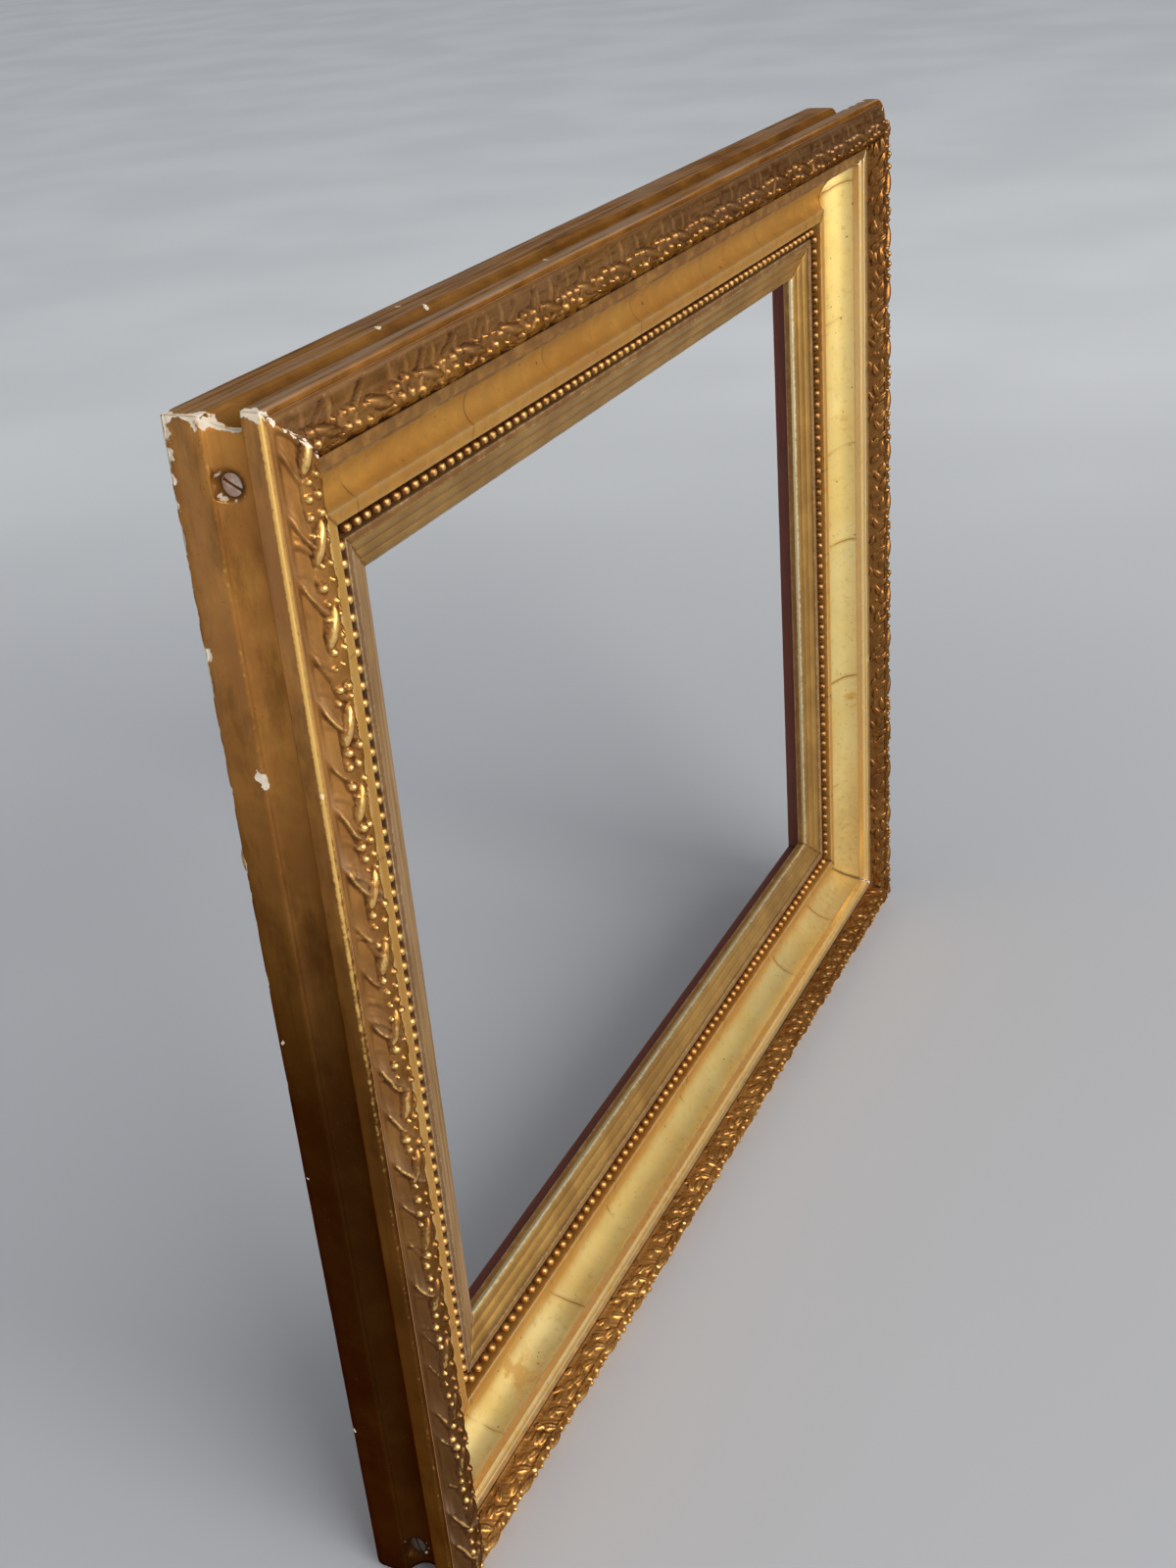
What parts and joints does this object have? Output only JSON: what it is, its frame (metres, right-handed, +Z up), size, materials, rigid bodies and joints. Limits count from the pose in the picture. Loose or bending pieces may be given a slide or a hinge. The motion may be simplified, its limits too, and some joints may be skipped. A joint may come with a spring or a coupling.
{
  "type": "picture frame",
  "caption": "Rectangular gilded picture frame of mitred built-up moulding with leaf ornament, a bead row, a deep cove, a reeded sight slip, a rear rebate and hanging rings.",
  "frame": {"origin": "centre of the base of the whole part's box, on the surface it stands on", "axes": "+X to the right across the front, +Y from front to back, +Z up"},
  "size_m": [0.55, 0.055, 0.473],
  "materials": {
    "outer_gilt": "worn matt bronze gilding over gesso on softwood",
    "cove_gilt": "burnished leaf gilding",
    "slip_gilt": "worn satin gilding",
    "leaf_gilt": "toned bronze gilding on pressed composition",
    "bead_gilt": "toned bronze gilding on pressed composition",
    "screw_steel": "dull aged steel",
    "brass_fitting": "aged brass wire"
  },
  "bodies": {
    "frame": {"top_outer_rail": "outer_gilt", "top_cove_rail": "cove_gilt", "top_sight_slip": "slip_gilt", "top_leaf_strip": "leaf_gilt", "top_bead_strip": "bead_gilt", "right_outer_rail": "outer_gilt", "right_cove_rail": "cove_gilt", "right_sight_slip": "slip_gilt", "right_leaf_strip": "leaf_gilt", "right_bead_strip": "bead_gilt", "bottom_outer_rail": "outer_gilt", "bottom_cove_rail": "cove_gilt", "bottom_sight_slip": "slip_gilt", "bottom_leaf_strip": "leaf_gilt", "bottom_bead_strip": "bead_gilt", "left_outer_rail": "outer_gilt", "left_cove_rail": "cove_gilt", "left_sight_slip": "slip_gilt", "left_leaf_strip": "leaf_gilt", "left_bead_strip": "bead_gilt", "corner_screws": "screw_steel", "screw_eyes": "brass_fitting"},
    "left_ring": {"left_hanging_ring": "brass_fitting"},
    "right_ring": {"right_hanging_ring": "brass_fitting"}
  },
  "joints": [
    {"name": "left_ring_swing", "type": "hinge", "parent": "frame", "child": "left_ring", "pos_m": [-0.253, 0.02225, 0.3285], "axis": [1, 0, 0], "range_deg": [-15, 195]},
    {"name": "right_ring_swing", "type": "hinge", "parent": "frame", "child": "right_ring", "pos_m": [0.253, 0.02225, 0.3285], "axis": [1, 0, 0], "range_deg": [-15, 195]}
  ]
}
